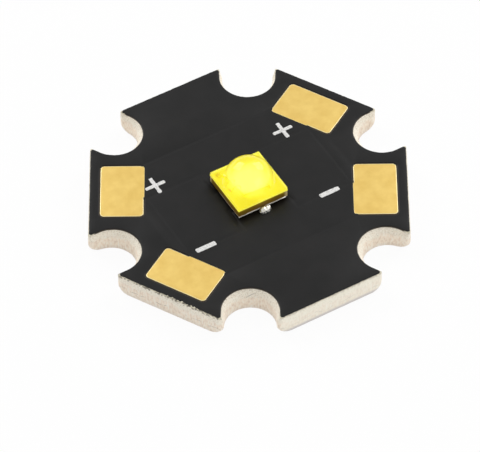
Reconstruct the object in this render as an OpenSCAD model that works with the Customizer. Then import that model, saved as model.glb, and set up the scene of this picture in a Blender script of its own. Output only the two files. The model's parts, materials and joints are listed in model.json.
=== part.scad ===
// High-power LED emitter soldered to a star-shaped metal-core board.
// Origin at the middle of the board's underside, +Z up, +X along the copper strips.

/* [Board] */
// Width of the board across two opposite flats
board_w = 20.1; // [18:0.1:30]
// Thickness of the aluminium core
core_t = 1.5; // [0.8:0.05:3.2]
// Radius of the rolled lower edge that punching leaves
edge_roll = 0.15; // [0.05:0.01:0.3]
// Height of the rough break that punching leaves at the top of the core's wall
break_h = 0.45; // [0.2:0.05:0.5]
// How far the break draws in the flats
flat_break = 0.05; // [0.01:0.01:0.15]
// How far the break widens the notches
notch_break = 0.23; // [0.05:0.01:0.35]
// Radius of each screw notch below its break
notch_r = 1.56; // [1.2:0.02:1.9]
// Distance from the hexagon's sharp corner in to the centre of its notch
notch_inset = 1.82; // [1.4:0.01:2.2]
// Thickness of the insulating layer between core and copper
dielectric_t = 0.075; // [0.05:0.005:0.2]

/* [Solder mask] */
// Thickness of the mask
mask_t = 0.02; // [0.015:0.001:0.05]
// How far the mask stops short of the edge of the dielectric
mask_setback = 0.02; // [0.01:0.01:0.2]

/* [Wire pads] */
// Length of a pad along its board edge
pad_w = 4.2; // [2.6:0.05:4.6]
// Depth of a pad from the board edge inward
pad_d = 2.7; // [1.6:0.05:3.2]
// Rim of board between a pad and the edge
pad_rim = 0.75; // [0.4:0.05:1.2]
// Corner radius of a pad
pad_corner_r = 0.25; // [0.1:0.05:0.6]
// Gap from a pad to the edge of its opening in the mask
pad_opening_gap = 0.08; // [0.04:0.01:0.2]
// Thickness of the gold plating
plating_t = 0.012; // [0.005:0.001:0.02]

/* [Copper] */
// Thickness of the copper
copper_t = 0.035; // [0.02:0.005:0.105]
// Width of the strip that joins two pads
strip_w = 2.3; // [1.2:0.05:2.6]
// Gap between neighbouring copper areas
copper_gap = 0.3; // [0.15:0.05:0.5]
// How far the neck between strip and emitter runs past the emitter's terminal
neck_margin = 0.15; // [0.05:0.05:0.4]

/* [Emitter base] */
// Side of the square ceramic
led_w = 3.55; // [3.2:0.05:4]
// Thickness of the ceramic
ceramic_t = 0.5; // [0.3:0.05:0.8]
// Height of the solder joints
solder_t = 0.12; // [0.06:0.01:0.2]
// Thickness of the terminals under the ceramic
terminal_t = 0.05; // [0.02:0.01:0.1]
// Margin between the terminals and the ceramic's edge
terminal_inset = 0.125; // [0.05:0.005:0.2]
// Width of the anode and cathode terminals
electrode_w = 0.5; // [0.3:0.05:0.6]
// Width of the thermal terminal between them
thermal_w = 1.3; // [0.8:0.05:1.6]
// How far a solder land runs past its terminal
land_margin = 0.05; // [0.02:0.01:0.1]
// Radius of the filled holes through the ceramic
via_r = 0.1; // [0.05:0.01:0.14]
// Distance between the two holes of one terminal
via_pitch = 1.8; // [1:0.05:2.4]
// Length of the solder bead at the front of the emitter
bead_w = 0.78; // [0.5:0.01:1.2]
// Depth of the solder bead
bead_d = 0.45; // [0.2:0.01:0.48]
// Gap between the solder bead and the side of the ceramic
bead_gap = 0.02; // [0.01:0.01:0.1]

/* [Chip] */
// Thickness of the metal traces on the ceramic
trace_t = 0.03; // [0.02:0.005:0.06]
// Margin between the traces and the ceramic's edge
trace_inset = 0.15; // [0.1:0.01:0.18]
// Gap between the two traces
trace_gap = 0.15; // [0.1:0.01:0.25]
// Side of the square light-emitting chip
chip_w = 1.4; // [0.8:0.05:1.5]
// Thickness of the chip
chip_t = 0.17; // [0.1:0.01:0.2]
// Rim of metal round the chip
chip_rim = 0.1; // [0.05:0.01:0.15]
// Side of the square surge protector
protector_w = 0.28; // [0.2:0.01:0.32]
// Thickness of the surge protector
protector_t = 0.12; // [0.08:0.01:0.2]
// Radius of the bond wires
wire_r = 0.02; // [0.015:0.001:0.03]
// Distance between the two wires of the chip
wire_pitch = 0.5; // [0.2:0.05:0.7]
// Distance from the chip's edge to the start of its wires
wire_bond_inset = 0.12; // [0.05:0.01:0.2]

/* [Lens] */
// Thickness of the yellow phosphor film
film_t = 0.05; // [0.02:0.005:0.08]
// Thickness of the clear square flange over the film
flange_t = 0.22; // [0.1:0.01:0.4]
// Rim of flange round the dome
dome_rim = 0.19; // [0.08:0.01:0.4]
// Fillet between dome and flange
dome_fillet = 0.1; // [0.03:0.01:0.15]

/* [Hidden] */
$fn = 64;
// How far a cutting shape runs past the face that it cuts
past = 0.1;

// The board is a hexagon with a corner on +X
sides = 6;
turn = 360 / sides;
half_turn = turn / 2;
corner_reach = board_w / 2 / cos(half_turn);
notch_reach = corner_reach - notch_inset;

// Levels of the board's layers
dielectric_z = core_t;
copper_z = dielectric_z + dielectric_t;
copper_top = copper_z + copper_t;
mask_top = copper_top + mask_t;

// Wire pads lie on the four slanted edges: plus at the back, minus at the front
plus_left_a = 180 - half_turn;
plus_right_a = half_turn;
pad_reach = board_w / 2 - pad_rim - pad_d / 2;
pad_inner = pad_reach - pad_d / 2;

// Terminals and solder lands of the emitter
terminal_l = led_w - 2 * terminal_inset;
electrode_y = terminal_l / 2 - electrode_w / 2;
land_l = terminal_l + 2 * land_margin;
electrode_land_w = electrode_w + 2 * land_margin;
thermal_land_w = thermal_w + 2 * land_margin;

// Copper areas
strip_y = pad_reach * sin(half_turn);
strip_half_l = pad_reach * cos(half_turn);
strip_inner = strip_y - strip_w / 2;
neck_w = land_l + 2 * neck_margin;
neck_inner = electrode_y - electrode_land_w / 2;
wing_start = neck_w / 2 + copper_gap;
wing_half_w = strip_inner - copper_gap;
wing_end = (pad_inner - copper_gap - wing_half_w * sin(half_turn)) / cos(half_turn);

// Levels of the emitter
terminal_z = copper_top + solder_t;
ceramic_z = terminal_z + terminal_t;
ceramic_top = ceramic_z + ceramic_t;
trace_top = ceramic_top + trace_t;
chip_top = trace_top + chip_t;
protector_top = trace_top + protector_t;
film_top = trace_top + film_t;
flange_top = film_top + flange_t;

// Traces on the ceramic: a bar over each pair of vias, a chip seat and an arm for the wires
trace_half = led_w / 2 - trace_inset;
bar_inner = 2 * electrode_y - trace_half;
seat_half = chip_w / 2 + chip_rim;
arm_inner = seat_half + trace_gap;
arm_x = (arm_inner + trace_half) / 2;
arm_end = bar_inner - trace_gap;
protector_y = (bar_inner + trace_half) / 2;

// Bond wires: loops that start on a chip and come down on the arm
chip_wire_x = chip_w / 2 - wire_bond_inset;
chip_wire_span = arm_x - chip_wire_x;
protector_wire_span = protector_y - arm_end + wire_bond_inset;

// Solder bead
bead_r = bead_d / 2;
bead_y = led_w / 2 + bead_gap + bead_r;
bead_sink = bead_r / 2;
bead_bridge_w = bead_w / 2;

// Dome, and the fillet that touches both dome and flange
dome_r = led_w / 2 - dome_rim;
fillet_r = min(dome_fillet, dome_rim);
fillet_x = sqrt(pow(dome_r + fillet_r, 2) - pow(fillet_r, 2));
fillet_top = fillet_r * dome_r / (dome_r + fillet_r);

// Flat hexagon of the board, drawn in from its flats
module hexagon(setback) {
    circle(r = (board_w / 2 - setback) / cos(half_turn), $fn = sides);
}

// Outline of a layer on the core, drawn in from the edge of the core's upper face
module star(setback) {
    slot_r = notch_r + notch_break + setback;
    difference() {
        hexagon(flat_break + setback);
        at_notches() {
            circle(r = slot_r);
            translate([0, -slot_r])
                square([notch_inset + past, 2 * slot_r]);
        }
    }
}

module at_notches() {
    for (i = [0 : sides - 1])
        rotate(i * turn)
            translate([notch_reach, 0])
                children();
}

module at_flats() {
    for (i = [0 : sides - 1])
        rotate(i * turn + half_turn)
            translate([board_w / 2, 0])
                children();
}

// Flat rectangle with round corners, centred
module round_rect(w, d, r) {
    square([w - 2 * r, d], center = true);
    square([w, d - 2 * r], center = true);
    for (x = [-1, 1], y = [-1, 1])
        translate([x * (w / 2 - r), y * (d / 2 - r)])
            circle(r = r);
}

// Flat slab over the emitter's footprint, centred on the board
module emitter_slab(w, d, t) {
    translate([-w / 2, -d / 2, 0])
        cube([w, d, t]);
}

// What rounding takes off a corner whose wall stands at x = 0 and whose underside lies at y = 0
module rolled_corner(r) {
    difference() {
        translate([-past, -past])
            square([r + past, r + past]);
        translate([r, r])
            circle(r = r);
    }
}

// Section of what punching takes away beside a wall at x = w: rolled lower edge, straight land and break.
// The break's slope runs on past the top, so that none of the section's corners lies on the core's face.
module punched_section(w, break_d) {
    polygon([
        [0, -past], [w, -past], [w, core_t - break_h],
        [w + break_d * (1 + past / break_h), core_t + past], [0, core_t + past]
    ]);
    translate([w, 0]) rolled_corner(edge_roll);
}

// Sweep of a section round the inner end of a notch and out along both of its sides
module along_notch() {
    rotate(90)
        rotate_extrude(angle = 180)
            children();
    for (side = [0, 1])
        mirror([0, side, 0])
            rotate([90, 0, 90])
                linear_extrude(notch_inset + past)
                    children();
}

// Board

module aluminium_core() {
    color([0.82, 0.79, 0.75])
        difference() {
            linear_extrude(core_t) hexagon(-past / 2);
            at_flats()
                translate([past, 0, 0])
                    rotate([90, 0, 180])
                        linear_extrude(board_w, center = true) punched_section(past, flat_break);
            at_notches()
                along_notch() punched_section(notch_r, notch_break);
        }
}

module dielectric_layer() {
    color([0.78, 0.76, 0.68])
        translate([0, 0, dielectric_z])
            linear_extrude(dielectric_t) star(0);
}

module at_pad(angle) {
    rotate(angle)
        translate([pad_reach, 0])
            children();
}

// Opening in the mask at one wire pad
module pad_opening(angle) {
    w = pad_w + 2 * pad_opening_gap;
    d = pad_d + 2 * pad_opening_gap;
    at_pad(angle) round_rect(d, w, pad_corner_r + pad_opening_gap);
}

// Outline of the anode's copper: two pads, the strip between them and the neck to the emitter
module electrode_outline(grow = 0) {
    for (angle = [plus_left_a, plus_right_a])
        at_pad(angle) round_rect(pad_d + 2 * grow, pad_w + 2 * grow, pad_corner_r + grow);
    translate([-strip_half_l, strip_inner - grow])
        square([2 * strip_half_l, strip_w + 2 * grow]);
    translate([-neck_w / 2 - grow, neck_inner - grow])
        square([neck_w + 2 * grow, strip_y - neck_inner]);
}

// Outline of the thermal copper: the emitter's land and a wing to each side
module thermal_outline(grow = 0) {
    start = wing_start - grow;
    end = wing_end + grow;
    wing = wing_half_w + grow;
    land = thermal_land_w / 2 + grow;
    polygon([
        [-end, -wing], [-start, -wing], [-start, -land], [start, -land], [start, -wing], [end, -wing],
        [end, wing], [start, wing], [start, land], [-start, land], [-start, wing], [-end, wing]
    ]);
}

module anode_copper() {
    color([0.72, 0.45, 0.25])
        translate([0, 0, copper_z])
            linear_extrude(copper_t) electrode_outline();
}

module cathode_copper() {
    mirror([0, 1, 0]) anode_copper();
}

module thermal_copper() {
    color([0.72, 0.45, 0.25])
        translate([0, 0, copper_z])
            linear_extrude(copper_t) thermal_outline();
}

// Openings in the mask at the four pads and the three solder lands
module mask_openings() {
    for (front = [0, 1])
        mirror([0, front]) {
            pad_opening(plus_left_a);
            pad_opening(plus_right_a);
            translate([0, electrode_y])
                square([land_l, electrode_land_w], center = true);
        }
    square([land_l, thermal_land_w], center = true);
}

module solder_mask() {
    color([0.19, 0.185, 0.18])
        difference() {
            translate([0, 0, copper_z]) {
                linear_extrude(mask_t) star(mask_setback);
                linear_extrude(copper_t + mask_t) {
                    electrode_outline(mask_t);
                    mirror([0, 1]) electrode_outline(mask_t);
                    thermal_outline(mask_t);
                }
            }
            anode_copper();
            cathode_copper();
            thermal_copper();
            translate([0, 0, copper_z - past])
                linear_extrude(copper_t + mask_t + 2 * past) mask_openings();
        }
}

// Gold on the copper that one opening leaves bare
module plus_pad(angle) {
    color([0.92, 0.81, 0.47])
        translate([0, 0, copper_top])
            linear_extrude(plating_t)
                intersection() {
                    electrode_outline();
                    pad_opening(angle);
                }
}

module plus_pad_left() {
    plus_pad(plus_left_a);
}

module plus_pad_right() {
    plus_pad(plus_right_a);
}

module minus_pad_left() {
    mirror([0, 1, 0]) plus_pad(plus_left_a);
}

module minus_pad_right() {
    mirror([0, 1, 0]) plus_pad(plus_right_a);
}

// Emitter base

// Joint that fills the land's opening in the mask and stands up to the terminal
module solder_joint(terminal_w) {
    color([0.8, 0.81, 0.82])
        translate([0, 0, copper_top]) {
            emitter_slab(land_l, terminal_w + 2 * land_margin, mask_t);
            emitter_slab(terminal_l, terminal_w, solder_t);
        }
}

module anode_solder() {
    translate([0, electrode_y, 0]) solder_joint(electrode_w);
}

// Half section of the bead, from its middle to one round end
module bead_section() {
    square([bead_r, bead_w / 2 - bead_r]);
    intersection() {
        translate([0, bead_w / 2 - bead_r])
            circle(r = bead_r);
        square([bead_r, bead_w / 2]);
    }
}

module solder_bead() {
    color([0.8, 0.81, 0.82])
        intersection() {
            translate([0, -bead_y, mask_top + bead_sink])
                rotate([0, 90, 0])
                    rotate_extrude() {
                        bead_section();
                        mirror([0, 1]) bead_section();
                    }
            translate([-bead_w, -bead_y - bead_d, mask_top])
                cube([2 * bead_w, 2 * bead_d, bead_d]);
        }
}

module cathode_solder() {
    mirror([0, 1, 0]) anode_solder();
    solder_bead();
    color([0.8, 0.81, 0.82])
        translate([-bead_bridge_w / 2, -bead_y, mask_top])
            cube([bead_bridge_w, bead_y - electrode_y, solder_t - mask_t]);
}

module thermal_solder() {
    solder_joint(thermal_w);
}

module terminal(w) {
    color([0.86, 0.8, 0.66])
        translate([0, 0, terminal_z])
            emitter_slab(terminal_l, w, terminal_t);
}

module anode_terminal() {
    translate([0, electrode_y, 0]) terminal(electrode_w);
}

module cathode_terminal() {
    mirror([0, 1, 0]) anode_terminal();
}

module thermal_terminal() {
    terminal(thermal_w);
}

module anode_vias() {
    color([0.72, 0.45, 0.25])
        for (x = [-1, 1])
            translate([x * via_pitch / 2, electrode_y, ceramic_z])
                cylinder(r = via_r, h = ceramic_t);
}

module cathode_vias() {
    mirror([0, 1, 0]) anode_vias();
}

module ceramic_substrate() {
    color([0.72, 0.68, 0.6])
        difference() {
            translate([0, 0, ceramic_z])
                emitter_slab(led_w, led_w, ceramic_t);
            anode_vias();
            cathode_vias();
        }
}

// Chip and its wiring

module anode_trace() {
    color([0.85, 0.78, 0.55])
        translate([0, 0, ceramic_top]) {
            translate([-trace_half, bar_inner, 0])
                cube([2 * trace_half, trace_half - bar_inner, trace_t]);
            translate([-seat_half, -seat_half, 0])
                cube([2 * seat_half, seat_half + bar_inner, trace_t]);
        }
}

module cathode_trace() {
    color([0.85, 0.78, 0.55])
        translate([0, 0, ceramic_top]) {
            translate([-trace_half, -trace_half, 0])
                cube([2 * trace_half, trace_half - bar_inner, trace_t]);
            translate([-trace_half, -trace_half, 0])
                cube([trace_half - arm_inner, trace_half + arm_end, trace_t]);
        }
}

module led_chip() {
    color([0.55, 0.62, 0.75])
        translate([0, 0, trace_top])
            emitter_slab(chip_w, chip_w, chip_t);
}

module surge_protector() {
    color([0.3, 0.3, 0.32])
        translate([-arm_x, protector_y, trace_top])
            emitter_slab(protector_w, protector_w, protector_t);
}

// Loop from the origin along +X, with a straight leg down at its far end
module wire_loop(span, drop) {
    translate([span / 2, 0, 0])
        rotate([90, 0, 0])
            rotate_extrude(angle = 180)
                translate([span / 2, 0])
                    circle(r = wire_r);
    translate([span, 0, -drop])
        cylinder(r = wire_r, h = drop);
}

module bond_wires() {
    color([0.95, 0.78, 0.35]) {
        for (side = [-1, 1])
            translate([-chip_wire_x, side * wire_pitch / 2, chip_top])
                rotate(180) wire_loop(chip_wire_span, chip_t);
        translate([-arm_x, protector_y, protector_top])
            rotate(-90) wire_loop(protector_wire_span, protector_t);
    }
}

// Film over a square block on the ceramic
module coated_block(w, top) {
    translate([0, 0, ceramic_top])
        emitter_slab(w + 2 * film_t, w + 2 * film_t, top + film_t - ceramic_top);
}

// Outer form of the film, with its humps over the chip and the surge protector
module film_form() {
    translate([0, 0, ceramic_top])
        emitter_slab(led_w, led_w, film_top - ceramic_top);
    coated_block(chip_w, chip_top);
    translate([-arm_x, protector_y, 0])
        coated_block(protector_w, protector_top);
}

module phosphor_film() {
    color([1, 0.9, 0.12])
        difference() {
            film_form();
            anode_trace();
            cathode_trace();
            led_chip();
            surge_protector();
            bond_wires();
        }
}

// Half section of the dome above the flange, with a fillet at its foot
module dome_section() {
    intersection() {
        circle(r = dome_r);
        square([dome_r, dome_r]);
    }
    difference() {
        square([fillet_x, fillet_top]);
        translate([fillet_x, fillet_r])
            circle(r = fillet_r);
    }
}

module silicone_lens() {
    color([1, 0.98, 0.5, 0.6])
        difference() {
            union() {
                translate([0, 0, film_top])
                    emitter_slab(led_w, led_w, flange_t);
                translate([0, 0, flange_top])
                    rotate_extrude() dome_section();
            }
            film_form();
            bond_wires();
        }
}

aluminium_core();
dielectric_layer();
anode_copper();
cathode_copper();
thermal_copper();
solder_mask();
plus_pad_left();
plus_pad_right();
minus_pad_left();
minus_pad_right();
anode_solder();
cathode_solder();
thermal_solder();
anode_terminal();
cathode_terminal();
thermal_terminal();
ceramic_substrate();
anode_vias();
cathode_vias();
anode_trace();
cathode_trace();
led_chip();
surge_protector();
bond_wires();
phosphor_film();
silicone_lens();
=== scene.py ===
"""Looks of the high-power LED: finishes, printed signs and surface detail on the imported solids."""

import json
import math

import bmesh
import bpy
from mathutils import Matrix, Vector, noise
from mathutils.geometry import delaunay_2d_cdt


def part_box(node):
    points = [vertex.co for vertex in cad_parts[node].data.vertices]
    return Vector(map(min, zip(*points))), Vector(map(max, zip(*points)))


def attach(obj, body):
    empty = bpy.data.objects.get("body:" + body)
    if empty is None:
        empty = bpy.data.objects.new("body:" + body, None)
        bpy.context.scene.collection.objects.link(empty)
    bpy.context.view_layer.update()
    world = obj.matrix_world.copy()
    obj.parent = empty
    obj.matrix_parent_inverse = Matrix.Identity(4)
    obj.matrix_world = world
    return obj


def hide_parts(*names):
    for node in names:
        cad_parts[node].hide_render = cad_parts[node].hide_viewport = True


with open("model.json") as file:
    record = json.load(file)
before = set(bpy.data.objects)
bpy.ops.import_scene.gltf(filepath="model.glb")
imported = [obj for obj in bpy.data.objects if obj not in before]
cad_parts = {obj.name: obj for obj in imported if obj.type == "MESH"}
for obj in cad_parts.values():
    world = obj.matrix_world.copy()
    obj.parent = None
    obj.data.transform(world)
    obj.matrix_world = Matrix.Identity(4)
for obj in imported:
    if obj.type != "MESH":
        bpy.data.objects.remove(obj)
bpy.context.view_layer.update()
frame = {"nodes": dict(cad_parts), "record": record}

# Lengths are in metres. Points closer than SNAP are one, and so are directions whose product is past ALIGNED.
MM = 0.001
SNAP = 0.0001 * MM
ALIGNED = 0.9999
SHARP_EDGE = math.radians(40)

# The star: its flats, and half the turn in degrees from one notch to the next
SIDES = 6
HALF_TURN = 180 / SIDES

# Notches below the break: how far they lean out and how much wider they are
NOTCH_LEAN = 0.16 * MM
NOTCH_SPREAD = 0.06 * MM

# Horns beside the notches: radius at the top, below the break and at the foot, and the foot's height
HORN_R = 0.08 * MM
HORN_LAND_R = 0.3 * MM
HORN_FOOT_R = 0.85 * MM
HORN_ROUNDING = 0.7 * MM

# Relief of the punched wall: width and height of its lumps and grain, and the land's share of them
WALL_LUMP_W = 0.35 * MM
WALL_LUMP_H = 0.02 * MM
WALL_GRAIN_W = 0.1 * MM
WALL_GRAIN_H = 0.018 * MM
LAND_RELIEF = 0.3

# Dielectric: its rounded edge, and its share of the wall's relief
RESIN_LIP = 0.01 * MM
RESIN_RELIEF = 0.5

# Mask: horns, longest step along the copper's edges, width of their slopes, how much of the copper's step it
# levels, lips of its openings, how far past the emitter edges crowd, and the least share of a width there
MASK_HORN_R = 0.15 * MM
RAISED_STEP = 0.4 * MM
SLOPE_W = 0.24 * MM
LEVELLING = 0.6
OPENING_LIP = 0.03 * MM
CROWDING_GAP = 0.1 * MM
LEAST_EDGE = 0.05

# Pads, and printed signs with ragged edges
RIM_STEP = 0.05 * MM
PAD_STEP = 4 * RIM_STEP
PAD_LIP = 0.05 * MM
INK_T = 0.012 * MM
INK_LIP = 0.03 * MM
INK_RAGGED_W = 0.12 * MM
INK_RAGGED_H = 0.02 * MM
SIGN_REACH = 0.7 * MM
PLUS_STROKE = 0.26 * MM
MINUS_STROKE = 0.35 * MM
SIGN_CORNER = 0.3

# Emitter: direction of the corners where its ceramic is pale, its roundings, and how far the lens sinks into
# the coat
CERAMIC_DIAGONAL = 135
DOME_FILLET = 0.1 * MM
EMITTER_CORNER = 0.05 * MM
LENS_ARRIS = 0.04 * MM
CERAMIC_ARRIS = 0.02 * MM
LENS_SINK = 0.01 * MM

# Solder bead: longest edge and how often edges are cut, and its lumps and grain
BEAD_STEP = 0.04 * MM
BEAD_CUTS = 4
BEAD_LUMP_W = 0.16 * MM
BEAD_LUMP_H = 0.06 * MM
BEAD_GRAIN_W = 0.07 * MM
BEAD_GRAIN_H = 0.03 * MM

# Numbers of steps round the outlines and down the walls
ARC_STEPS = 36
SIDE_STEPS = 16
CORNER_STEPS = 6
FLAT_STEPS = 52
SQUARE_STEPS = 24
LIP_STEPS = 4
SLOPE_STEPS = 6
BREAK_RINGS = 14
LAND_RINGS = 18
ROLL_RINGS = 6
DOME_RINGS = 40
FOOT_RINGS = 6

# Way of filling outlines that keeps the openings clear
INSIDE_WITH_HOLES = 2

# Middle points of the printed signs on the mask
PLUS_SIGNS = {"left": Vector((-4.86, 3.31)) * MM, "right": Vector((4.42, 3.26)) * MM}
MINUS_SIGNS = {"left": Vector((-4.675, -2.71)) * MM, "right": Vector((4.255, -2.74)) * MM}

# Tan marks in the yellow coat, with their strengths: over the diode's corner, and where the chip's wires
# come down. And how far they reach.
TAN_MARKS = [(Vector((-1.39, 1.4)) * MM, 1), (Vector((-1.13, 0.02)) * MM, 0.6)]
TAN_REACH = 0.28 * MM

# The flat whose lacquer is chipped, and the chipped stretch along it from its middle
CHIPPED_FLAT = 210
CHIPS_MIDDLE = 0.5 * MM
CHIPS_HALF = 2.6 * MM

# Chips: their depth on every rim and what the chipped stretch adds to it, the share of that depth that is
# gone anyway, and the widths and weights of coarse and fine chips
CHIP_DEPTH = 0.03 * MM
CHIP_DEEPER = 0.15 * MM
CHIP_LEAST = 0.2
CHIP_COARSE_W = 0.5 * MM
CHIP_COARSE = 0.5
CHIP_FINE_W = 0.11 * MM
CHIP_FINE = 0.9

# Torn line along the flats: how far it lies below the break
TEAR_DROP = 0.42 * MM

# A scratch on the inner end of one notch: its direction, its middle's height, its rise along the wall, and
# how far it reaches from its middle
SCRATCHED_NOTCH = 240
SCRATCH_Z = 1.17 * MM
SCRATCH_RISE = 0.42
SCRATCH_REACH = 0.55 * MM

# The photograph's view
VIEW_AZIMUTH = math.radians(-30.19)
VIEW_ELEVATION = math.radians(49.04)
VIEW_ROLL = math.radians(-0.41)
VIEW_AIM = Vector((-1.986, -2.286, 1.605)) * MM
VIEW_DISTANCE = 248.8 * MM
LENS_LENGTH = 300
SENSOR_WIDTH = 36

# Floor: half its width, how far it laps under the part and lies below it, its colour, and the share of white
# where it is seen
FLOOR_HALF = 1.5
FLOOR_LAP = 0.3 * MM
FLOOR_DROP = 0.002 * MM
FLOOR_ALBEDO = 0.85
FLOOR_GLOW = 0.94

# Surroundings: their level, and the heights up to which they are white and from which they have that level
WORLD_LEVEL = 0.59
HORIZON_WHITE = math.radians(4)
HORIZON_END = math.radians(8)

# Lamps: two behind the part, left and right, and a weak one before it on the right. Each has its direction,
# as shares to the right of the view, onward from it and up, and its radiance.
LAMP_DISTANCE = 0.5
LAMP_SIZE = 0.3
LAMPS = {
    "lamp_left": ((-0.58, 0.56, 0.58), 3.6),
    "lamp_right": ((0.58, 0.56, 0.58), 3.6),
    "lamp_front": ((0.7, -0.6, 0.4), 1.08),
}

# Sizes read from the frame
CORE = [v.co for v in frame["nodes"]["aluminium_core"].data.vertices]
CORE_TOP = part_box("aluminium_core")[1].z
BOARD_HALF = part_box("aluminium_core")[1].y
FLAT_LAND = [v.z for v in CORE if v.y > BOARD_HALF - SNAP]
BREAK_FOOT = max(FLAT_LAND)
EDGE_ROLL = min(FLAT_LAND)
FLAT_BREAK = BOARD_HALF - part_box("dielectric_layer")[1].y
MASK_SETBACK = BOARD_HALF - FLAT_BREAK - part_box("solder_mask")[1].y
DIELECTRIC_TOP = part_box("dielectric_layer")[1].z
MASK_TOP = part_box("solder_mask")[1].z
NOTCHES = next(m for m in frame["record"]["mounts"] if m["name"] == "screw_notches")["dims"]
NOTCH_R = NOTCHES["hole_r_mm"] * MM
NOTCH_MIDDLE = Vector((NOTCHES["pcd_mm"] / 2 * MM, 0))
FACE = [v.co.to_2d() for v in frame["nodes"]["dielectric_layer"].data.vertices]
NOTCH_BREAK = min((p - NOTCH_MIDDLE).length for p in FACE) - NOTCH_R
EMITTER_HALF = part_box("ceramic_substrate")[1].x
CROWDED_HALF = EMITTER_HALF + CROWDING_GAP
LENS = [v.co for v in frame["nodes"]["silicone_lens"].data.vertices]
FLANGE_TOP = max(v.z for v in LENS if v.x > EMITTER_HALF - SNAP)
PADS = ["plus_pad_left", "plus_pad_right", "minus_pad_left", "minus_pad_right"]


# Outlines

def level_loops(name, level):
    """Outlines of a node's upward faces at one height, each with the material on its left."""
    mesh = frame["nodes"][name].data
    spots = [(round(v.co.x / SNAP), round(v.co.y / SNAP)) for v in mesh.vertices]
    steps = set()
    for face in mesh.polygons:
        if face.normal.z > ALIGNED and abs(face.center.z - level) < SNAP:
            ring = [spots[i] for i in face.vertices]
            steps.update(zip(ring, ring[1:] + ring[:1]))
    onward = {a: b for a, b in sorted(steps) if (b, a) not in steps}
    loops = []
    while onward:
        start, point = onward.popitem()
        loop = [start]
        while point != start:
            loop.append(point)
            point = onward.pop(point)
        loops.append([Vector(spot) * SNAP for spot in loop])
    return loops


def upward_levels(name):
    """Heights at which a node has upward faces, lowest first."""
    mesh = frame["nodes"][name].data
    return sorted({round(f.center.z / SNAP) * SNAP for f in mesh.polygons if f.normal.z > ALIGNED})


def subdivided(loop, step):
    """The loop with its long straight stretches cut into steps."""
    points = []
    for a, b in zip(loop, loop[1:] + loop[:1]):
        count = max(1, math.ceil((b - a).length / step))
        points += [a.lerp(b, i / count) for i in range(count)]
    return points


def inward_steps(loop):
    """For each point of a loop, the mitred step that moves its outline one unit to its left."""
    steps = []
    for before, point, after in zip(loop[-1:] + loop[:-1], loop, loop[1:] + loop[:1]):
        sides = [(point - before).normalized(), (after - point).normalized()]
        middle = sum((Vector((-s.y, s.x)) for s in sides), Vector((0, 0)))
        steps.append(middle * 2 / max(middle.length_squared, 1))
    return steps


def spoke(degrees):
    return Vector((math.cos(math.radians(degrees)), math.sin(math.radians(degrees))))


def horn_place(centre, slot_r, flat, horn_r):
    """Centre of a horn's rounding, and the angle round the notch's centre at which the round end stops.

    A horn too big to meet the notch's straight side meets its round end.
    """
    out = spoke(HALF_TURN)
    gap = slot_r + horn_r
    horn = Vector(((flat - horn_r - gap * out.y) / out.x, gap))
    if horn.x >= centre.x:
        return horn, 90
    ahead = flat - horn_r - centre.dot(out)
    horn = centre + out * ahead + spoke(HALF_TURN + 90) * math.sqrt(gap ** 2 - ahead ** 2)
    return horn, math.degrees(math.atan2(horn.y, horn.x - centre.x))


def half_corner(inset, slot_r, horn_r, lean):
    """Points and outward normals from a notch's inner end by its side and horn to the flat's middle."""
    out = spoke(HALF_TURN)
    centre = NOTCH_MIDDLE + Vector((lean, 0))
    horn, meeting = horn_place(centre, slot_r, BOARD_HALF - inset, horn_r)
    rays = [spoke(180 + (meeting - 180) * i / ARC_STEPS) for i in range(ARC_STEPS)]
    path = [(centre + ray * slot_r, -ray) for ray in rays]
    inner = spoke(meeting)
    side = centre + inner * slot_r
    side_end = horn - inner * horn_r
    path += [(side.lerp(side_end, i / SIDE_STEPS), -inner) for i in range(SIDE_STEPS)]
    start = meeting - 180
    rays = [spoke(start + (HALF_TURN - start) * i / CORNER_STEPS) for i in range(CORNER_STEPS)]
    path += [(horn + ray * horn_r, ray) for ray in rays]
    flat = horn + out * horn_r
    middle = out * (BOARD_HALF - inset)
    path += [(flat.lerp(middle, i / FLAT_STEPS), out) for i in range(FLAT_STEPS + 1)]
    return path


def star_outline(inset, slot_r, horn_r=HORN_R, lean=0):
    """Points and outward normals round the star, anticlockwise, with its flats drawn in by an inset."""
    half = half_corner(inset, slot_r, horn_r, lean)
    flip = Matrix(((1, 0), (0, -1)))
    corner = [(flip @ p, flip @ n) for p, n in reversed(half[1:-1])] + half
    turns = [Matrix.Rotation(math.radians(2 * HALF_TURN) * k, 2) for k in range(SIDES)]
    return [(turn @ p, turn @ n) for turn in turns for p, n in corner]


def rounded_square(half, corner_r):
    """Outline of a square with rounded corners, anticlockwise."""
    corner = half - corner_r
    points = []
    for quarter in range(4):
        turn = Matrix.Rotation(math.radians(90) * quarter, 2)
        side = [Vector((half, corner * (2 * i / SQUARE_STEPS - 1))) for i in range(SQUARE_STEPS)]
        rays = [spoke(90 * i / CORNER_STEPS) for i in range(CORNER_STEPS)]
        points += [turn @ p for p in side + [Vector((corner, corner)) + ray * corner_r for ray in rays]]
    return points


# Mesh building

def ring_of(bm, points, z):
    return [bm.verts.new((p.x, p.y, z)) for p in points]


def bridge(bm, upper, lower):
    """Quads between two rings of as many vertices, the upper one first."""
    for quad in zip(upper, lower, lower[1:] + lower[:1], upper[1:] + upper[:1]):
        bm.faces.new(quad)


def stack(bm, rings):
    """Quads from each ring to the next one down."""
    for upper, lower in zip(rings, rings[1:]):
        bridge(bm, upper, lower)


def edge_rings(bm, loop, steps, profile):
    """Rings of a loop's points, moved in by their steps along an edge profile of (inset, height)."""
    return [ring_of(bm, [p + s * inset for p, s in zip(loop, steps)], z) for inset, z in profile]


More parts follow.
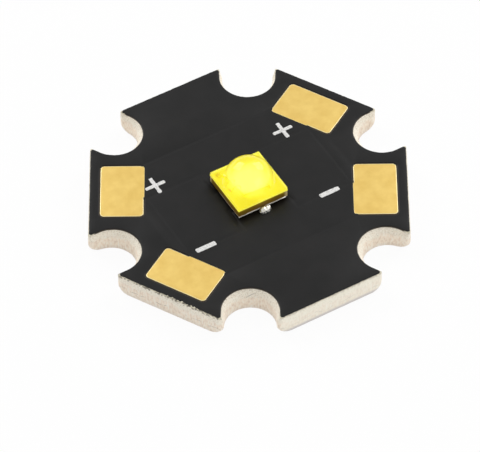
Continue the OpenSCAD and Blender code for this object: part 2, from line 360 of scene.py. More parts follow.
def fill(bm, rings):
    """Triangles on one level, inside the outer rings and outside those of the openings."""
    verts = [vert for ring in rings for vert in ring]
    starts = [sum(map(len, rings[:i])) for i in range(len(rings))]
    loops = [list(range(start, start + len(ring))) for start, ring in zip(starts, rings)]
    spots = [vert.co.to_2d() / MM for vert in verts]
    _, _, faces, sources, _, _ = delaunay_2d_cdt(spots, [], loops, INSIDE_WITH_HOLES, SNAP / MM)
    for face in faces:
        bm.faces.new([verts[sources[i][0]] for i in face])


def encloses(loop):
    """True for the outer outline of a face, False for that of an opening in it."""
    return sum(a.cross(b) for a, b in zip(loop, loop[1:] + loop[:1])) > 0


def room_for_edge(point):
    """Share of an edge's width that there is room for: little under the emitter, where edges crowd."""
    reach = max(abs(point.x), abs(point.y))
    return min(1, max(LEAST_EDGE, (reach - CROWDED_HALF) / SLOPE_W))


def add_film(bm, loops, outer, openings=None):
    """A flat film inside the loops. Profiles give its edges as (inset, height), from the top down."""
    top, base = [], []
    for loop in loops:
        steps = [step * room_for_edge(point) for point, step in zip(loop, inward_steps(loop))]
        profile = outer if encloses(loop) else openings or outer
        rings = edge_rings(bm, loop, steps, profile)
        stack(bm, rings)
        top.append(rings[0])
        base.append(rings[-1])
    fill(bm, top)
    fill(bm, base)


def round_lip(top, base, width):
    """An edge profile that rounds over from the top face and drops to the base."""
    height = min(width, top - base)
    angles = [math.radians(90) * i / LIP_STEPS for i in range(LIP_STEPS + 1)]
    curve = [(width * (1 - math.sin(a)), top - height * (1 - math.cos(a))) for a in angles]
    return curve + ([(0, base)] if top - base > height + SNAP else [])


def soft_slope(top, base, width):
    """An edge profile that falls in a smooth S from the top face to the base, centred on the outline."""
    slope = []
    for i in range(SLOPE_STEPS + 1):
        share = i / SLOPE_STEPS
        ease = share * share * (3 - 2 * share)
        slope.append((width * (0.5 - share), top + (base - top) * ease))
    return slope


def add_object(name, data):
    """A new object in the scene."""
    thing = bpy.data.objects.new(name, data)
    bpy.context.scene.collection.objects.link(thing)
    return thing


def add_mesh(name, bm, material):
    """A new object in the scene from a bmesh, which ends here."""
    mesh = bpy.data.meshes.new(name)
    bm.to_mesh(mesh)
    bm.free()
    mesh.materials.append(material)
    return add_object(name, mesh)


def add_piece(name, bm, material, slot, *nodes):
    """Turns a bmesh into a piece that rides on the part and stands for the nodes named."""
    bmesh.ops.dissolve_degenerate(bm, dist=SNAP, edges=bm.edges)
    bmesh.ops.recalc_face_normals(bm, faces=bm.faces)
    piece = add_mesh(name, bm, material)
    for face in piece.data.polygons:
        face.use_smooth = abs(face.normal.z) < ALIGNED
    piece.data.set_sharp_from_angle(angle=SHARP_EDGE)
    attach(piece, "root")
    if nodes:
        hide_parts(*nodes)
    return piece


# Materials

def srgb(red, green, blue):
    """A colour as the eye names it, 0 to 255, as the linear colour that a shader takes."""
    parts = [c / 255 for c in (red, green, blue)]
    return tuple(c / 12.92 if c <= 0.04045 else ((c + 0.055) / 1.055) ** 2.4 for c in parts) + (1,)


class Finish:
    """A material in the making: its Principled shader and the nodes that feed it."""

    def __init__(self, name, **sockets):
        self.material = bpy.data.materials.new(name)
        self.material.use_nodes = True
        self.tree = self.material.node_tree
        self.shader = self.tree.nodes["Principled BSDF"]
        self.place = self.add("ShaderNodeTexCoord").outputs["Object"]
        for socket, value in sockets.items():
            self.shader.inputs[socket.replace("_", " ")].default_value = value

    def add(self, kind, **inputs):
        """A new node with constants on some of its sockets."""
        node = self.tree.nodes.new(kind)
        for socket, value in inputs.items():
            node.inputs[socket].default_value = value
        return node

    def link(self, value, node, socket):
        """Puts an output or a constant on a socket."""
        if isinstance(value, (int, float, tuple)):
            node.inputs[socket].default_value = value
        else:
            self.tree.links.new(value, node.inputs[socket])

    def feed(self, socket, value):
        """Puts an output or a constant on a socket of the shader."""
        self.link(value, self.shader, socket)

    def noise(self, grain, detail=3, stretch=(1, 1, 1)):
        """Noise from 0 to 1 with lumps of about the grain's width, longer along a stretched axis."""
        mapping = self.add("ShaderNodeMapping", Scale=[1 / (grain * s) for s in stretch])
        self.link(self.place, mapping, "Vector")
        texture = self.add("ShaderNodeTexNoise", Scale=1, Detail=detail)
        self.link(mapping.outputs["Vector"], texture, "Vector")
        return texture.outputs["Fac"]

    def wander(self, grain, width):
        """Noise from minus half a width to plus half of it."""
        return self.times(self.maths("SUBTRACT", self.noise(grain), 0.5), width)

    def axis(self, letter, vector=None):
        """A part of a vector, or of the place on the part if none is given."""
        parts = self.add("ShaderNodeSeparateXYZ")
        self.link(vector or self.place, parts, "Vector")
        return parts.outputs[letter]

    def edges(self, width):
        """1 along the edges of a level face, falling to 0 within about a width of them."""
        rounded = self.add("ShaderNodeBevel", Radius=width).outputs["Normal"]
        return self.share(self.axis("Z", rounded), 0.995, 0.85)

    def vector_maths(self, operation, other=(0, 0, 0), vector=None):
        """Outputs of an operation on a vector, or on the place on the part if none is given."""
        node = self.add("ShaderNodeVectorMath")
        node.operation = operation
        node.inputs[1].default_value = other
        self.link(vector or self.place, node, 0)
        return node.outputs

    def span(self):
        """Distance from the part's upright axis."""
        flat = self.vector_maths("MULTIPLY", (1, 1, 0))["Vector"]
        return self.vector_maths("LENGTH", vector=flat)["Value"]

    def along(self, degrees):
        """Distance from the part's middle along a level direction."""
        return self.vector_maths("DOT_PRODUCT", spoke(degrees).to_3d())["Value"]

    def reach(self, sides=SIDES):
        """Distance out from the part's middle across the flats of a polygon, with one flat on +Y."""
        farthest = 0.0
        for k in range(sides // 2):
            across = self.maths("ABSOLUTE", self.along(90 + 360 / sides * k))
            farthest = self.maths("MAXIMUM", across, farthest)
        return farthest

    def maths(self, operation, value, other=0.0):
        """An operation on one or two numbers."""
        node = self.add("ShaderNodeMath")
        node.operation = operation
        self.link(value, node, 0)
        self.link(other, node, 1)
        return node.outputs["Value"]

    def times(self, value, other):
        """The product of two numbers."""
        return self.maths("MULTIPLY", value, other)

    def mapped(self, value, source, target, interpolation="LINEAR"):
        """A value taken from one range of (low, high) to another."""
        node = self.add("ShaderNodeMapRange")
        node.interpolation_type = interpolation
        for socket, end in zip(("From Min", "From Max", "To Min", "To Max"), source + target):
            node.inputs[socket].default_value = end
        self.link(value, node, "Value")
        return node.outputs["Result"]

    def share(self, value, low, high):
        """0 where a value is at the low end or beyond, 1 at the high end, and smooth between."""
        return self.mapped(value, (low, high), (0, 1), "SMOOTHSTEP")

    def spread(self, value, low, high):
        """A value from 0 to 1 taken to the range from low to high."""
        return self.mapped(value, (0, 1), (low, high))

    def nearness(self, spot, reach):
        """1 at a spot of the part, falling to 0 at the reach."""
        return self.share(self.vector_maths("DISTANCE", spot)["Value"], reach, 0)

    def ramp(self, value, *stops):
        """Colours along a value, as (position, colour) stops."""
        ramp = self.add("ShaderNodeValToRGB")
        while len(ramp.color_ramp.elements) < len(stops):
            ramp.color_ramp.elements.new(0.5)
        for element, (position, colour) in zip(ramp.color_ramp.elements, stops):
            element.position = position
            element.color = colour
        self.link(value, ramp, "Fac")
        return ramp.outputs["Color"]

    def mix(self, share, colour, other):
        """One colour blended into another by a share."""
        mix = self.add("ShaderNodeMix")
        mix.data_type = "RGBA"
        self.link(share, mix, "Factor")
        self.link(colour, mix, 6)
        self.link(other, mix, 7)
        return mix.outputs[2]

    def bump(self, *layers):
        """Relief from (noise, depth) layers, laid one on another."""
        normal = None
        for value, depth in layers:
            bump = self.add("ShaderNodeBump", Distance=depth)
            self.link(value, bump, "Height")
            if normal:
                self.link(normal, bump, "Normal")
            normal = bump.outputs["Normal"]
        self.feed("Normal", normal)


def wall_tint(finish, grain, streaks, broken):
    """Colour of the punched wall: mottled and streaked below, flecked in the break."""
    mottle = finish.noise(0.12 * MM, detail=5, stretch=(1, 1, 2.5))
    stops = (0.3, srgb(228, 208, 188)), (0.5, srgb(252, 238, 218)), (0.7, srgb(255, 251, 240))
    land = finish.ramp(mottle, *stops)
    land = finish.mix(finish.times(streaks, 0.4), land, srgb(222, 206, 188))
    stops = (0.28, srgb(172, 164, 142)), (0.42, srgb(242, 236, 220)), (0.7, srgb(255, 252, 242))
    return finish.mix(finish.times(broken, 0.7), land, finish.ramp(grain, *stops))


def wall_scars(finish, level):
    """Share of torn metal: a broken line along the flats, and one scratch in a notch."""
    flat = finish.share(finish.reach(), BOARD_HALF - 0.12 * MM, BOARD_HALF - 0.04 * MM)
    off_line = finish.maths("ABSOLUTE", finish.maths("SUBTRACT", level, BREAK_FOOT - TEAR_DROP))
    torn = finish.times(flat, finish.share(off_line, 0.04 * MM, 0.012 * MM))
    torn = finish.times(torn, finish.share(finish.noise(0.5 * MM, detail=2), 0.42, 0.56))
    rise = finish.times(finish.along(SCRATCHED_NOTCH + 90), SCRATCH_RISE)
    off_scratch = finish.maths("SUBTRACT", finish.maths("SUBTRACT", finish.axis("Z"), rise), SCRATCH_Z)
    scratch = finish.share(finish.maths("ABSOLUTE", off_scratch), 0.045 * MM, 0.01 * MM)
    inner_end = NOTCH_MIDDLE.x - NOTCH_R
    middle = (spoke(SCRATCHED_NOTCH) * inner_end).to_3d() + Vector((0, 0, SCRATCH_Z))
    scratch = finish.times(scratch, finish.nearness(middle, SCRATCH_REACH))
    return finish.times(finish.maths("MAXIMUM", torn, scratch), 0.45)


def dark_rim_fringe(finish):
    """Share of a broken darker fringe along the top of the wall: most on the chipped flat."""
    rim = finish.share(finish.axis("Z"), CORE_TOP - 0.16 * MM, CORE_TOP - 0.02 * MM)
    broken_fringe = finish.times(rim, finish.share(finish.noise(0.16 * MM), 0.46, 0.6))
    chipped = finish.share(finish.along(CHIPPED_FLAT), BOARD_HALF - 0.4 * MM, BOARD_HALF - 0.25 * MM)
    return finish.times(broken_fringe, finish.spread(chipped, 0.2, 0.75))


def wall_fringe_and_painted_light(finish, tint):
    """A colour of the wall with a painted highlight on the front flat, a darker broken fringe along the rim
    and a painted shade at the foot.
    """
    front = finish.share(finish.axis("Y"), 0.12 * MM - BOARD_HALF, 0.06 * MM - BOARD_HALF)
    # Painted highlight: the front flat is made paler, as if lit more strongly.
    tint = finish.mix(finish.times(front, 0.5), tint, srgb(255, 251, 236))
    tint = finish.mix(dark_rim_fringe(finish), tint, srgb(96, 82, 60))
    # Painted shade: the foot, where the edge rolls under, is made greyer, most on the front flat.
    foot = finish.share(finish.axis("Z"), 3 * EDGE_ROLL, EDGE_ROLL)
    painted_foot_shade = finish.times(foot, finish.spread(front, 0.2, 0.9))
    return finish.mix(painted_foot_shade, tint, srgb(212, 206, 204))


def wall_finish():
    """Punched aluminium: grainy, with a rougher break on top, scars, a darker broken fringe on the rim, a
    painted highlight on the front flat and a painted shade at the foot.
    """
    finish = Finish("punched_aluminium", Metallic=0.2)
    grain = finish.noise(0.07 * MM, detail=4)
    streaks = finish.noise(0.08 * MM, detail=3, stretch=(1, 1, 12))
    level = finish.maths("ADD", finish.axis("Z"), finish.wander(0.7 * MM, 0.7 * MM))
    broken = finish.share(level, BREAK_FOOT - 0.1 * MM, BREAK_FOOT + 0.15 * MM)
    tint = wall_tint(finish, grain, streaks, broken)
    tint = finish.mix(wall_scars(finish, level), tint, srgb(128, 112, 94))
    finish.feed("Base Color", wall_fringe_and_painted_light(finish, tint))
    finish.feed("Roughness", finish.spread(broken, 0.5, 0.7))
    finish.bump((grain, 0.01 * MM), (streaks, 0.003 * MM))
    return finish.material


def base_finish():
    """Rolled aluminium of the underside, with fine lines along the sheet."""
    finish = Finish("rolled_aluminium", Metallic=1)
    lines = finish.noise(0.12 * MM, detail=4, stretch=(60, 1, 1))
    cloud = finish.noise(2.5 * MM, detail=3)
    finish.feed("Base Color", finish.ramp(lines, (0.3, srgb(184, 183, 181)), (0.7, srgb(206, 205, 202))))
    finish.feed("Roughness", finish.spread(cloud, 0.3, 0.5))
    finish.bump((lines, 0.001 * MM))
    return finish.material


def dielectric_finish():
    """Filled resin: pale along the cut edge, dark with lacquer haze within."""
    finish = Finish("filled_resin", Roughness=0.6)
    grain = finish.noise(0.06 * MM, detail=4)
    cut = finish.ramp(grain, (0.3, srgb(196, 188, 164)), (0.7, srgb(232, 226, 206)))
    cut = finish.mix(dark_rim_fringe(finish), cut, srgb(60, 50, 36))
    face = finish.ramp(grain, (0.3, srgb(44, 38, 28)), (0.7, srgb(70, 60, 42)))
    inner = finish.share(finish.reach(), BOARD_HALF - 0.35 * MM, BOARD_HALF - 0.5 * MM)
    finish.feed("Base Color", finish.mix(inner, cut, face))
    finish.bump((grain, 0.004 * MM))
    return finish.material


def mask_finish():
    """Black satin lacquer with a faint orange peel, and a painted shadow round the emitter: darker colour and
    weaker gloss there.
    """
    finish = Finish("black_lacquer")
    cloud = finish.noise(1.6 * MM, detail=4)
    peel = finish.noise(0.14 * MM, detail=3)
    # Painted shadow: the lacquer round the emitter's foot is darker and less glossy.
    painted_emitter_shadow = finish.share(finish.reach(4), EMITTER_HALF + 0.5 * MM, EMITTER_HALF)
    black = finish.ramp(cloud, (0.3, srgb(14, 14, 14)), (0.7, srgb(20, 19, 19)))
    finish.feed("Base Color", finish.mix(painted_emitter_shadow, black, srgb(8, 5, 2)))
    finish.feed("Specular IOR Level", finish.spread(painted_emitter_shadow, 0.3, 0.18))
    finish.feed("Roughness", finish.spread(cloud, 0.34, 0.42))
    finish.bump((peel, 0.0012 * MM))
    return finish.material


def gold_finish():
    """Satin gold plating over etched copper, with a painted highlight round its lip."""
    finish = Finish("gold_plating", Metallic=1)
    cloud = finish.noise(0.7 * MM, detail=4)
    grain = finish.noise(0.05 * MM, detail=3)
    plated = finish.ramp(cloud, (0.3, srgb(231, 196, 110)), (0.7, srgb(241, 210, 126)))
    # Painted highlight: the gold is paler along the pad's lip, where the rounded rim catches light.
    finish.feed("Base Color", finish.mix(finish.edges(0.06 * MM), plated, srgb(250, 236, 186)))
    finish.feed("Roughness", finish.spread(grain, 0.42, 0.5))
    finish.bump((grain, 0.0015 * MM))
    return finish.material


def ink_finish():
    """White print, a little thin and porous."""
    finish = Finish("white_ink", Roughness=0.55)
    pores = finish.noise(0.07 * MM, detail=3)
    finish.feed("Base Color", finish.ramp(pores, (0.3, srgb(178, 178, 175)), (0.55, srgb(226, 225, 223))))
    finish.bump((pores, 0.006 * MM))
    return finish.material


def ceramic_finish():
    """Fired ceramic with painted shade on its sides: dark olive-brown, darker lower down. Pale along its
    lower edge.
    """
    finish = Finish("ceramic", Roughness=0.5)
    low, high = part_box("ceramic_substrate")
    grain = finish.noise(0.06 * MM, detail=4)
    level = finish.maths("ADD", finish.axis("Z"), finish.wander(0.5 * MM, 0.16 * MM))
    height = finish.mapped(level, (low.z, high.z), (0, 1))
    # Painted shade: the white ceramic's sides get a dark olive-brown, darker lower down, in place of the
    # shade they lie in.
    stops = (0.1, srgb(122, 94, 10)), (0.65, srgb(126, 96, 2)), (1.0, srgb(176, 148, 8))
    painted_shade_tint = finish.mix(finish.times(grain, 0.25), finish.ramp(height, *stops), srgb(52, 40, 14))
    across = finish.along(CERAMIC_DIAGONAL)
    corner = math.sqrt(2) * EMITTER_HALF
    ends = finish.share(finish.maths("ABSOLUTE", across), corner - 0.22 * MM, corner - 0.06 * MM)
    painted_shade_tint = finish.mix(finish.times(ends, 0.85), painted_shade_tint, srgb(222, 202, 146))
    foot = finish.share(finish.axis("Z"), low.z + 0.08 * MM, low.z + 0.03 * MM)
    foot = finish.times(foot, finish.share(across, 1.75 * MM, 1.6 * MM))
    foot = finish.times(foot, finish.share(finish.noise(0.4 * MM, detail=2), 0.36, 0.5))
    finish.feed("Base Color", finish.mix(foot, painted_shade_tint, srgb(238, 220, 204)))
    finish.bump((grain, 0.006 * MM))
    return finish.material


def phosphor_finish():
    """Yellow coat that glows: its emission is partly fluorescence and partly painted light in place of the
    light that the clear lens keeps from it. Paler over the chip, with a painted highlight along its rim, and
    tan marks at the diode and by the chip's wires.
    """
    # Painted light: the emission is partly the coat's fluorescence and partly light painted in where the lens
    # blocks it.
    finish = Finish("phosphor", Roughness=0.6, Emission_Strength=0.45)
    grain = finish.noise(0.05 * MM, detail=3)
    cloud = finish.noise(0.5 * MM, detail=3)
    chip_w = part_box("led_chip")[1].x * 2
    ragged = finish.maths("ADD", finish.span(), finish.times(cloud, 0.2 * MM))
    chip = finish.share(ragged, 0.95 * chip_w, 0.4 * chip_w)
    coat = Vector((0, 0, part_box("silicone_lens")[0].z))
    spots = [(finish.nearness(spot.to_3d() + coat, TAN_REACH), strength) for spot, strength in TAN_MARKS]
    marks = finish.maths("MAXIMUM", *[finish.times(*spot) for spot in spots])
    # Painted highlight: the coat is paler along its rim, where the lens's edge catches light.
    rim = finish.share(finish.reach(4), EMITTER_HALF - 0.16 * MM, EMITTER_HALF - 0.04 * MM)
    pale = finish.maths("MAXIMUM", chip, finish.times(rim, 0.5))
    yellow = finish.ramp(grain, (0.3, srgb(220, 212, 8)), (0.7, srgb(232, 226, 20)))
    yellow = finish.mix(marks, finish.mix(pale, yellow, srgb(244, 242, 100)), srgb(180, 160, 0))
    # The glow: partly fluorescence, partly painted light, brighter over the chip and along the rim.
    glow = finish.mix(marks, finish.mix(pale, srgb(255, 236, 10), srgb(255, 255, 120)), srgb(212, 180, 0))
    finish.feed("Base Color", yellow)
    finish.feed("Emission Color", glow)
    finish.bump((grain, 0.006 * MM))
    return finish.material


def silicone_finish():
    """Clear moulding with a faint haze."""
    finish = Finish("silicone", IOR=1.41, Transmission_Weight=1)
    cloud = finish.noise(0.6 * MM, detail=3)
    finish.feed("Base Color", finish.ramp(cloud, (0.3, srgb(255, 253, 236)), (0.7, srgb(255, 255, 246))))
    finish.feed("Roughness", finish.spread(cloud, 0.0, 0.08))
    return finish.material


def grained_finish(name, dark, pale, roughness, grain, depth, metallic):
    """A bare surface with lumps of a grain's width and a depth, in two colours and about one roughness."""
    finish = Finish(name, Metallic=metallic)
    lumps = finish.noise(grain, detail=4)
    finish.feed("Base Color", finish.ramp(lumps, (0.3, dark), (0.7, pale)))
    finish.feed("Roughness", finish.spread(lumps, roughness * 0.8, roughness * 1.2))
    finish.bump((lumps, depth))
    return finish.material


def metal_finish(name, dark, pale, roughness, depth=0.006 * MM):
    return grained_finish(name, dark, pale, roughness, 0.08 * MM, depth, metallic=1)


def crystal_finish(name, dark, pale, roughness):
    return grained_finish(name, dark, pale, roughness, 0.06 * MM, 0.002 * MM, metallic=0)


# Pieces of the board

def wall_relief(spot):
    """How far the punched wall stands out at a spot: coarse in the break, fine on the land."""
    lumps = WALL_LUMP_H * noise.noise(spot / WALL_LUMP_W)
    grain = WALL_GRAIN_H * noise.noise(spot / WALL_GRAIN_W)
    share = min(1, max(0, (spot.z - BREAK_FOOT) / (CORE_TOP - BREAK_FOOT)))
    return (lumps + grain) * (LAND_RELIEF + (1 - LAND_RELIEF) * math.sqrt(share))


def horn_radius(z):
    """Radius of the horns at a height: sharp at the top, blunt below the break, rounded off at the foot."""
    blunt = min(1, (CORE_TOP - z) / (CORE_TOP - BREAK_FOOT))
    foot = max(0, 1 - z / HORN_ROUNDING)
    rounded = 1 - math.sqrt(1 - foot * foot)
    return HORN_R + (HORN_LAND_R - HORN_R) * blunt + (HORN_FOOT_R - HORN_LAND_R) * rounded


def wall_profile():
    """The core's wall from the top down, as (height, (inset, slot radius, horn radius, lean))."""
    land_r = NOTCH_R + NOTCH_SPREAD
    profile = []
    for i in range(BREAK_RINGS):
        share = 1 - i / BREAK_RINGS
        slot_r = land_r + (NOTCH_R + NOTCH_BREAK - land_r) * share
        z = BREAK_FOOT + (CORE_TOP - BREAK_FOOT) * share
        profile.append((z, (FLAT_BREAK * share, slot_r, horn_radius(z), NOTCH_LEAN * (1 - share))))
    for i in range(LAND_RINGS):
        z = BREAK_FOOT + (EDGE_ROLL - BREAK_FOOT) * i / LAND_RINGS
        profile.append((z, (0, land_r, horn_radius(z), NOTCH_LEAN)))
    for i in range(ROLL_RINGS + 1):
        ray = spoke(90 * i / ROLL_RINGS)
        step = EDGE_ROLL * (1 - ray.x)
        z = EDGE_ROLL * (1 - ray.y)
        profile.append((z, (step, land_r + step, horn_radius(z), NOTCH_LEAN)))
    return profile


def add_star_plate(bm, profile, relief):
    """A plate with the star outline, its wall roughened by a relief. Gives its underside."""
    rings = []
    for z, outline in profile:
        ring = []
        for point, normal in star_outline(*outline):
            spot = point.to_3d() + Vector((0, 0, z))
            ring.append(bm.verts.new(spot + normal.to_3d() * relief(spot)))
        rings.append(ring)
    stack(bm, rings)
    bm.faces.new(rings[0])
    return bm.faces.new(reversed(rings[-1]))


def make_core(wall, base):
    bm = bmesh.new()
    underside = add_star_plate(bm, wall_profile(), wall_relief)
    underside.material_index = 1
    plate = add_piece("core_plate", bm, wall, "core", "aluminium_core")
    plate.data.materials.append(base)


def make_dielectric(material):
    bm = bmesh.new()
    slot_r = NOTCH_R + NOTCH_BREAK
    profile = [
        (DIELECTRIC_TOP, (FLAT_BREAK + RESIN_LIP, slot_r + RESIN_LIP)),
        (DIELECTRIC_TOP - RESIN_LIP, (FLAT_BREAK, slot_r)),
        (CORE_TOP, (FLAT_BREAK, slot_r)),
    ]
    add_star_plate(bm, profile, lambda spot: RESIN_RELIEF * wall_relief(spot) - RESIN_LIP)
    add_piece("dielectric_sheet", bm, material, "dielectric", "dielectric_layer")


def rim_chip(point, normal):
    """How far the lacquer's rim is chipped back at a point: most along one stretch of one flat."""
    depth = CHIP_DEPTH
    if normal.dot(spoke(CHIPPED_FLAT)) > ALIGNED:
        away = abs(point.dot(spoke(CHIPPED_FLAT + 90)) - CHIPS_MIDDLE)
        depth += CHIP_DEEPER * max(0, 1 - away / CHIPS_HALF)
    coarse = CHIP_COARSE * noise.noise(point.to_3d() / CHIP_COARSE_W)
    fine = CHIP_FINE * noise.noise(point.to_3d() / CHIP_FINE_W)
    return max(0, CHIP_LEAST + coarse + fine) * depth


def make_mask(material):
    """The lacquer: a thin film on the resin and a raised one with soft edges over the copper."""
    bm = bmesh.new()
    low, high = upward_levels("solder_mask")
    film = sorted(level_loops("solder_mask", low), key=lambda loop: max(p.length for p in loop))
    star = star_outline(FLAT_BREAK + MASK_SETBACK, NOTCH_R + NOTCH_BREAK + MASK_SETBACK, MASK_HORN_R)
    film[-1] = [point - normal * rim_chip(point, normal) for point, normal in star]
    level = low + LEVELLING * (high - low)
    add_film(bm, film, round_lip(level, DIELECTRIC_TOP, level - DIELECTRIC_TOP))
    raised = [subdivided(loop, RAISED_STEP) for loop in level_loops("solder_mask", high)]
    lip = round_lip(high, DIELECTRIC_TOP, OPENING_LIP)
    add_film(bm, raised, soft_slope(high, level, SLOPE_W), openings=lip)
    add_piece("mask_film", bm, material, "mask", "solder_mask")


def make_pads(material):
    for name in PADS:
        low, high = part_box(name)
        bm = bmesh.new()
        loops = [subdivided(loop, PAD_STEP) for loop in level_loops(name, high.z)]
        add_film(bm, loops, round_lip(high.z, low.z, PAD_LIP))
        add_piece(name + "_plating", bm, material, "gold", name)


def stroke_outline(arms, width):
    """Outline of straight strokes that meet in the middle, with rounded corners, anticlockwise."""
    corner = SIGN_CORNER * width
    arm = []
    for side, start in ((-1, -90), (1, 0)):
        middle = Vector((SIGN_REACH - corner, side * (width / 2 - corner)))
        rays = [spoke(start + 90 * i / CORNER_STEPS) for i in range(CORNER_STEPS + 1)]
        arm += [middle + ray * corner for ray in rays]
    if arms == 4:
        arm.append(Vector((width / 2, width / 2)))
    turns = [Matrix.Rotation(math.tau * k / arms, 2) for k in range(arms)]
    return [turn @ point for turn in turns for point in arm]


def make_signs(material):
    signs = [("plus", PLUS_SIGNS, 4, PLUS_STROKE), ("minus", MINUS_SIGNS, 2, MINUS_STROKE)]
    for kind, places, arms, width in signs:
        for side, middle in places.items():
            outline = subdivided([middle + p for p in stroke_outline(arms, width)], RIM_STEP)
            ragged = []
            for point, step in zip(outline, inward_steps(outline)):
                ragged.append(point + step * noise.noise(point.to_3d() / INK_RAGGED_W) * INK_RAGGED_H)
            bm = bmesh.new()
            add_film(bm, [ragged], round_lip(MASK_TOP + INK_T, MASK_TOP - INK_T, INK_LIP))
            add_piece(f"{kind}_sign_{side}", bm, material, "mask")


# Pieces of the emitter

def make_bead(material):
    """The front solder joint, with a lumpy bead that stands out from under the ceramic."""
    bm = bmesh.new()
    bm.from_mesh(frame["nodes"]["cathode_solder"].data)
    bmesh.ops.remove_doubles(bm, verts=bm.verts, dist=SNAP)
    for _ in range(BEAD_CUTS):
        bare = [e for e in bm.edges if max(v.co.y for v in e.verts) < -EMITTER_HALF]
        bmesh.ops.subdivide_edges(bm, edges=[e for e in bare if e.calc_length() > BEAD_STEP], cuts=1)
        bmesh.ops.triangulate(bm, faces=[f for f in bm.faces if len(f.verts) > 4])
    bm.normal_update()
    for vert in bm.verts:
        if vert.co.y < -EMITTER_HALF and vert.co.z > MASK_TOP + SNAP:
            lumps = BEAD_LUMP_H * noise.noise(vert.co / BEAD_LUMP_W)
            grain = BEAD_GRAIN_H * noise.noise(vert.co / BEAD_GRAIN_W)
            vert.co += vert.normal * (lumps + grain)
    add_piece("cathode_joint", bm, material, "solder", "cathode_solder")


def make_ceramic(material):
    low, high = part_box("ceramic_substrate")
    bm = bmesh.new()
    outline = subdivided(rounded_square(high.x, EMITTER_CORNER), RIM_STEP)
    upper_arris = round_lip(high.z, high.z - CERAMIC_ARRIS, CERAMIC_ARRIS)
    lower_arris = [(inset, low.z + high.z - z) for inset, z in reversed(upper_arris)]
    rings = edge_rings(bm, outline, inward_steps(outline), upper_arris + lower_arris)
    stack(bm, rings)
    fill(bm, [rings[0]])
    fill(bm, [rings[-1]])
    add_piece("ceramic_body", bm, material, "ceramic", "ceramic_substrate")


def dome_levels(radius):
    """The dome as (radius, height), from near its top down to the foot of its fillet on the flange."""
    reach = radius + DOME_FILLET
    meeting = math.asin(DOME_FILLET / reach)
    levels = []
    for i in range(1, DOME_RINGS + 1):
        angle = math.radians(90) + (meeting - math.radians(90)) * i / DOME_RINGS
        levels.append((radius * math.cos(angle), FLANGE_TOP + radius * math.sin(angle)))
    for i in range(1, FOOT_RINGS + 1):
        angle = meeting + (math.radians(90) - meeting) * i / FOOT_RINGS
        swell = reach * math.cos(meeting) - DOME_FILLET * math.cos(angle)
        levels.append((swell, FLANGE_TOP + DOME_FILLET * (1 - math.sin(angle))))
    return levels


def make_lens(material):
    low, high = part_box("silicone_lens")
    bm = bmesh.new()
    outline = rounded_square(high.x, EMITTER_CORNER)
    rays = [p.normalized() for p in outline]
    rings = [ring_of(bm, [ray * radius for ray in rays], z) for radius, z in dome_levels(high.z - FLANGE_TOP)]
    flange = round_lip(FLANGE_TOP, low.z - LENS_SINK, LENS_ARRIS)
    rings += edge_rings(bm, outline, inward_steps(outline), flange)
    stack(bm, rings)
    crown = bm.verts.new((0, 0, high.z))
    for a, b in zip(rings[0], rings[0][1:] + rings[0][:1]):
        bm.faces.new((crown, a, b))
    fill(bm, [rings[-1]])
    add_piece("moulded_lens", bm, material, "silicone", "silicone_lens")


def dress(material, *names):
    """Gives CAD nodes a finish."""
    for name in names:
        for slot in frame["nodes"][name].material_slots:
            slot.material = material


def dress_nodes(solder):
    """Finishes of the nodes that the scene shows as they are."""
    copper = metal_finish("etched_copper", srgb(176, 106, 70), srgb(214, 140, 100), 0.4)
    plated = metal_finish("plated_terminal", srgb(205, 190, 150), srgb(232, 220, 186), 0.35)
    dress(copper, "anode_copper", "cathode_copper", "thermal_copper", "anode_vias", "cathode_vias")
    dress(solder, "anode_solder", "thermal_solder")
    dress(plated, "anode_terminal", "cathode_terminal", "thermal_terminal", "anode_trace", "cathode_trace")
    dress(crystal_finish("chip_crystal", srgb(150, 158, 176), srgb(196, 202, 214), 0.25), "led_chip")
    dress(crystal_finish("protector_crystal", srgb(60, 60, 64), srgb(92, 92, 98), 0.35), "surge_protector")
    dress(phosphor_finish(), "phosphor_film", "bond_wires")


# Stage

def view_axes():
    """Right, up and back of the photograph's view."""
    right = Vector((math.cos(VIEW_AZIMUTH), math.sin(VIEW_AZIMUTH), 0))
    level = Vector((math.sin(VIEW_AZIMUTH), -math.cos(VIEW_AZIMUTH), 0))
    back = level * math.cos(VIEW_ELEVATION) + Vector((0, 0, math.sin(VIEW_ELEVATION)))
    up = back.cross(right)
    roll = Matrix.Rotation(VIEW_ROLL, 3, back)
    return roll @ right, roll @ up, back


def make_camera():
    right, up, back = view_axes()
    camera = add_object("camera", bpy.data.cameras.new("camera"))
    camera.data.lens = LENS_LENGTH
    camera.data.sensor_width = SENSOR_WIDTH
    camera.data.sensor_fit = "HORIZONTAL"
    camera.data.clip_start = VIEW_DISTANCE / 100
    camera.data.clip_end = VIEW_DISTANCE * 100
    place = Matrix((right, up, back)).transposed().to_4x4()
    place.translation = VIEW_AIM + back * VIEW_DISTANCE
    camera.matrix_world = place
    bpy.context.scene.camera = camera


def seen_directly(tree):
    """1 for rays from the camera and for those by way of metal or glass, 0 for the light on the object."""
    path = tree.nodes.new("ShaderNodeLightPath")
    total = path.outputs["Is Camera Ray"]
    for kind in ("Is Glossy Ray", "Is Transmission Ray"):
        more = tree.nodes.new("ShaderNodeMath")
        more.operation = "MAXIMUM"
        tree.links.new(total, more.inputs[0])
        tree.links.new(path.outputs[kind], more.inputs[1])
        total = more.outputs["Value"]
    return total


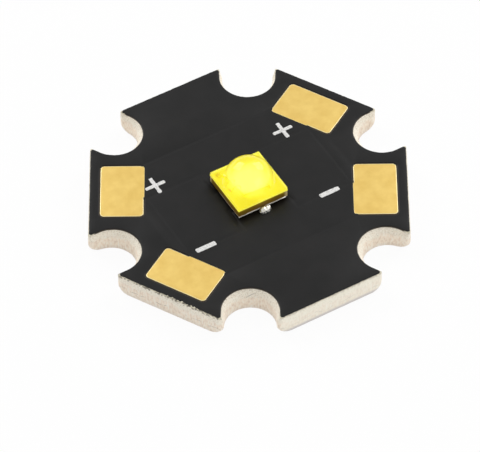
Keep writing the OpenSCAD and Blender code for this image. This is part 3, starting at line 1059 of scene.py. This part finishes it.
def floor_finish():
    """White paper that keeps a soft shadow and fades into the white background."""
    material = bpy.data.materials.new("floor_white")
    material.use_nodes = True
    tree = material.node_tree
    tree.nodes.remove(tree.nodes["Principled BSDF"])
    paper = tree.nodes.new("ShaderNodeBsdfDiffuse")
    paper.inputs["Color"].default_value = (FLOOR_ALBEDO,) * 3 + (1,)
    glow = tree.nodes.new("ShaderNodeEmission")
    blend = tree.nodes.new("ShaderNodeMixShader")
    share = tree.nodes.new("ShaderNodeMath")
    share.operation = "MULTIPLY"
    share.inputs[1].default_value = FLOOR_GLOW
    tree.links.new(seen_directly(tree), share.inputs[0])
    tree.links.new(share.outputs["Value"], blend.inputs["Fac"])
    tree.links.new(paper.outputs["BSDF"], blend.inputs[1])
    tree.links.new(glow.outputs["Emission"], blend.inputs[2])
    tree.links.new(blend.outputs["Shader"], tree.nodes["Material Output"].inputs["Surface"])
    return material


def make_floor():
    """White paper, open under the middle of the part so that its underside shows from below."""
    corners = [Vector((x, y)) * FLOOR_HALF for x, y in ((-1, -1), (1, -1), (1, 1), (-1, 1))]
    inset = EDGE_ROLL + FLOOR_LAP
    star = star_outline(inset, NOTCH_R + NOTCH_SPREAD + inset, HORN_FOOT_R, NOTCH_LEAN)
    bm = bmesh.new()
    fill(bm, [ring_of(bm, ring, -FLOOR_DROP) for ring in (corners, [point for point, _ in star])])
    floor = add_mesh("floor", bm, floor_finish())


def make_world():
    """Pale surroundings, white along the horizon so that they meet the white floor in low views."""
    world = bpy.data.worlds.new("studio")
    world.use_nodes = True
    bpy.context.scene.world = world
    tree = world.node_tree
    background = tree.nodes["Background"]
    background.inputs["Color"].default_value = (1, 1, 1, 1)
    direction = tree.nodes.new("ShaderNodeTexCoord").outputs["Generated"]
    parts = tree.nodes.new("ShaderNodeSeparateXYZ")
    rise = tree.nodes.new("ShaderNodeMath")
    rise.operation = "ABSOLUTE"
    level = tree.nodes.new("ShaderNodeMapRange")
    level.interpolation_type = "SMOOTHSTEP"
    level.inputs["From Min"].default_value = math.sin(HORIZON_END)
    level.inputs["From Max"].default_value = math.sin(HORIZON_WHITE)
    level.inputs["To Min"].default_value = WORLD_LEVEL
    level.inputs["To Max"].default_value = 1
    tree.links.new(direction, parts.inputs["Vector"])
    tree.links.new(parts.outputs["Z"], rise.inputs[0])
    tree.links.new(rise.outputs["Value"], level.inputs["Value"])
    tree.links.new(level.outputs["Result"], background.inputs["Strength"])


def make_lamp(name, direction, radiance):
    """A square soft lamp that looks at the part from a direction."""
    lamp = bpy.data.lights.new(name, "AREA")
    lamp.size = LAMP_SIZE
    lamp.energy = radiance * math.pi * LAMP_SIZE ** 2
    holder = add_object(name, lamp)
    holder.location = direction.normalized() * LAMP_DISTANCE
    holder.rotation_mode = "QUATERNION"
    holder.rotation_quaternion = direction.to_track_quat("Z", "Y")


def make_lamps():
    right, _, back = view_axes()
    onward = -Vector((back.x, back.y, 0)).normalized()
    for name, ((rightward, ahead, rise), radiance) in LAMPS.items():
        make_lamp(name, right * rightward + onward * ahead + Vector((0, 0, rise)), radiance)


def main():
    bpy.context.scene.view_settings.view_transform = "Standard"
    solder = metal_finish("solder", srgb(242, 239, 228), srgb(255, 253, 246), 0.3, depth=0.01 * MM)
    make_core(wall_finish(), base_finish())
    make_dielectric(dielectric_finish())
    make_mask(mask_finish())
    make_pads(gold_finish())
    make_signs(ink_finish())
    make_bead(solder)
    make_ceramic(ceramic_finish())
    make_lens(silicone_finish())
    dress_nodes(solder)
    make_floor()
    make_world()
    make_lamps()
    make_camera()


main()
